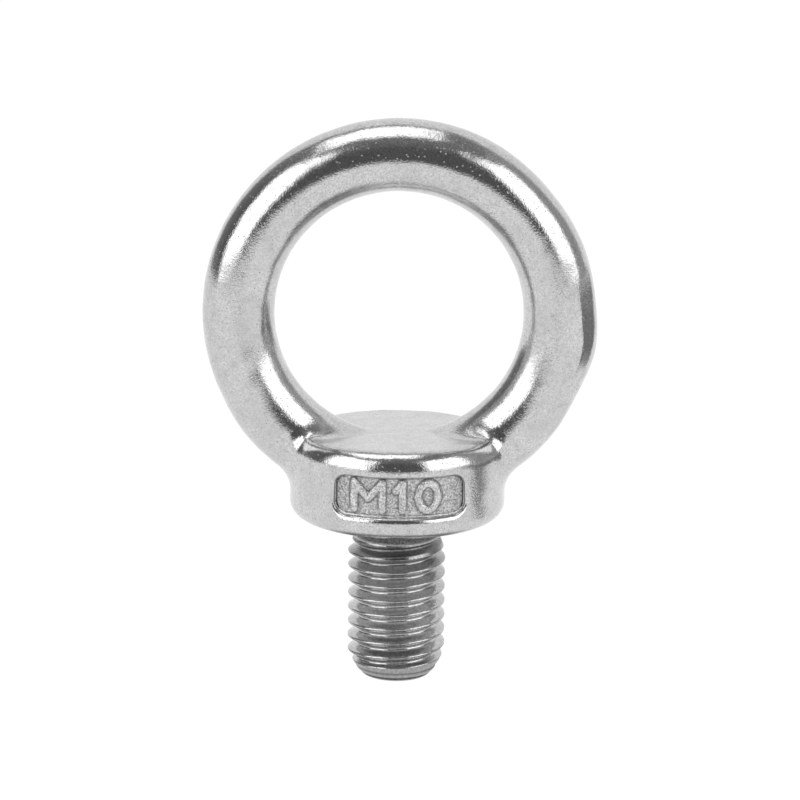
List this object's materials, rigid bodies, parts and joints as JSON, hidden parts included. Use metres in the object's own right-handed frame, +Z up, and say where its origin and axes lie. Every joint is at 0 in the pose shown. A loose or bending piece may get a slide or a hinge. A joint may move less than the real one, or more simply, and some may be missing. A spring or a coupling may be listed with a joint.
{
  "type": "lifting eye bolt",
  "caption": "Lifting eye bolt: a closed round ring on a round collar with a recessed size panel, over a short right-hand M10 threaded stud with a plain neck.",
  "frame": {"origin": "centre of the collar's seating face, on the thread's axis", "axes": "+Z up the thread's axis towards the eye; the ring lies in the XZ plane, so what passes through the eye runs along Y; the marking panel faces -Y"},
  "size_m": [0.04, 0.022, 0.0579],
  "materials": {
    "cast_stainless": "tumbled and polished investment casting, bright with a fine speckle of pits; the panel floor is left rough",
    "machined_stainless": "rolled thread and turned neck, darker and slightly dull"
  },
  "bodies": {
    "root": {"eye_head": "cast_stainless", "threaded_stud": "machined_stainless"}
  },
  "joints": []
}
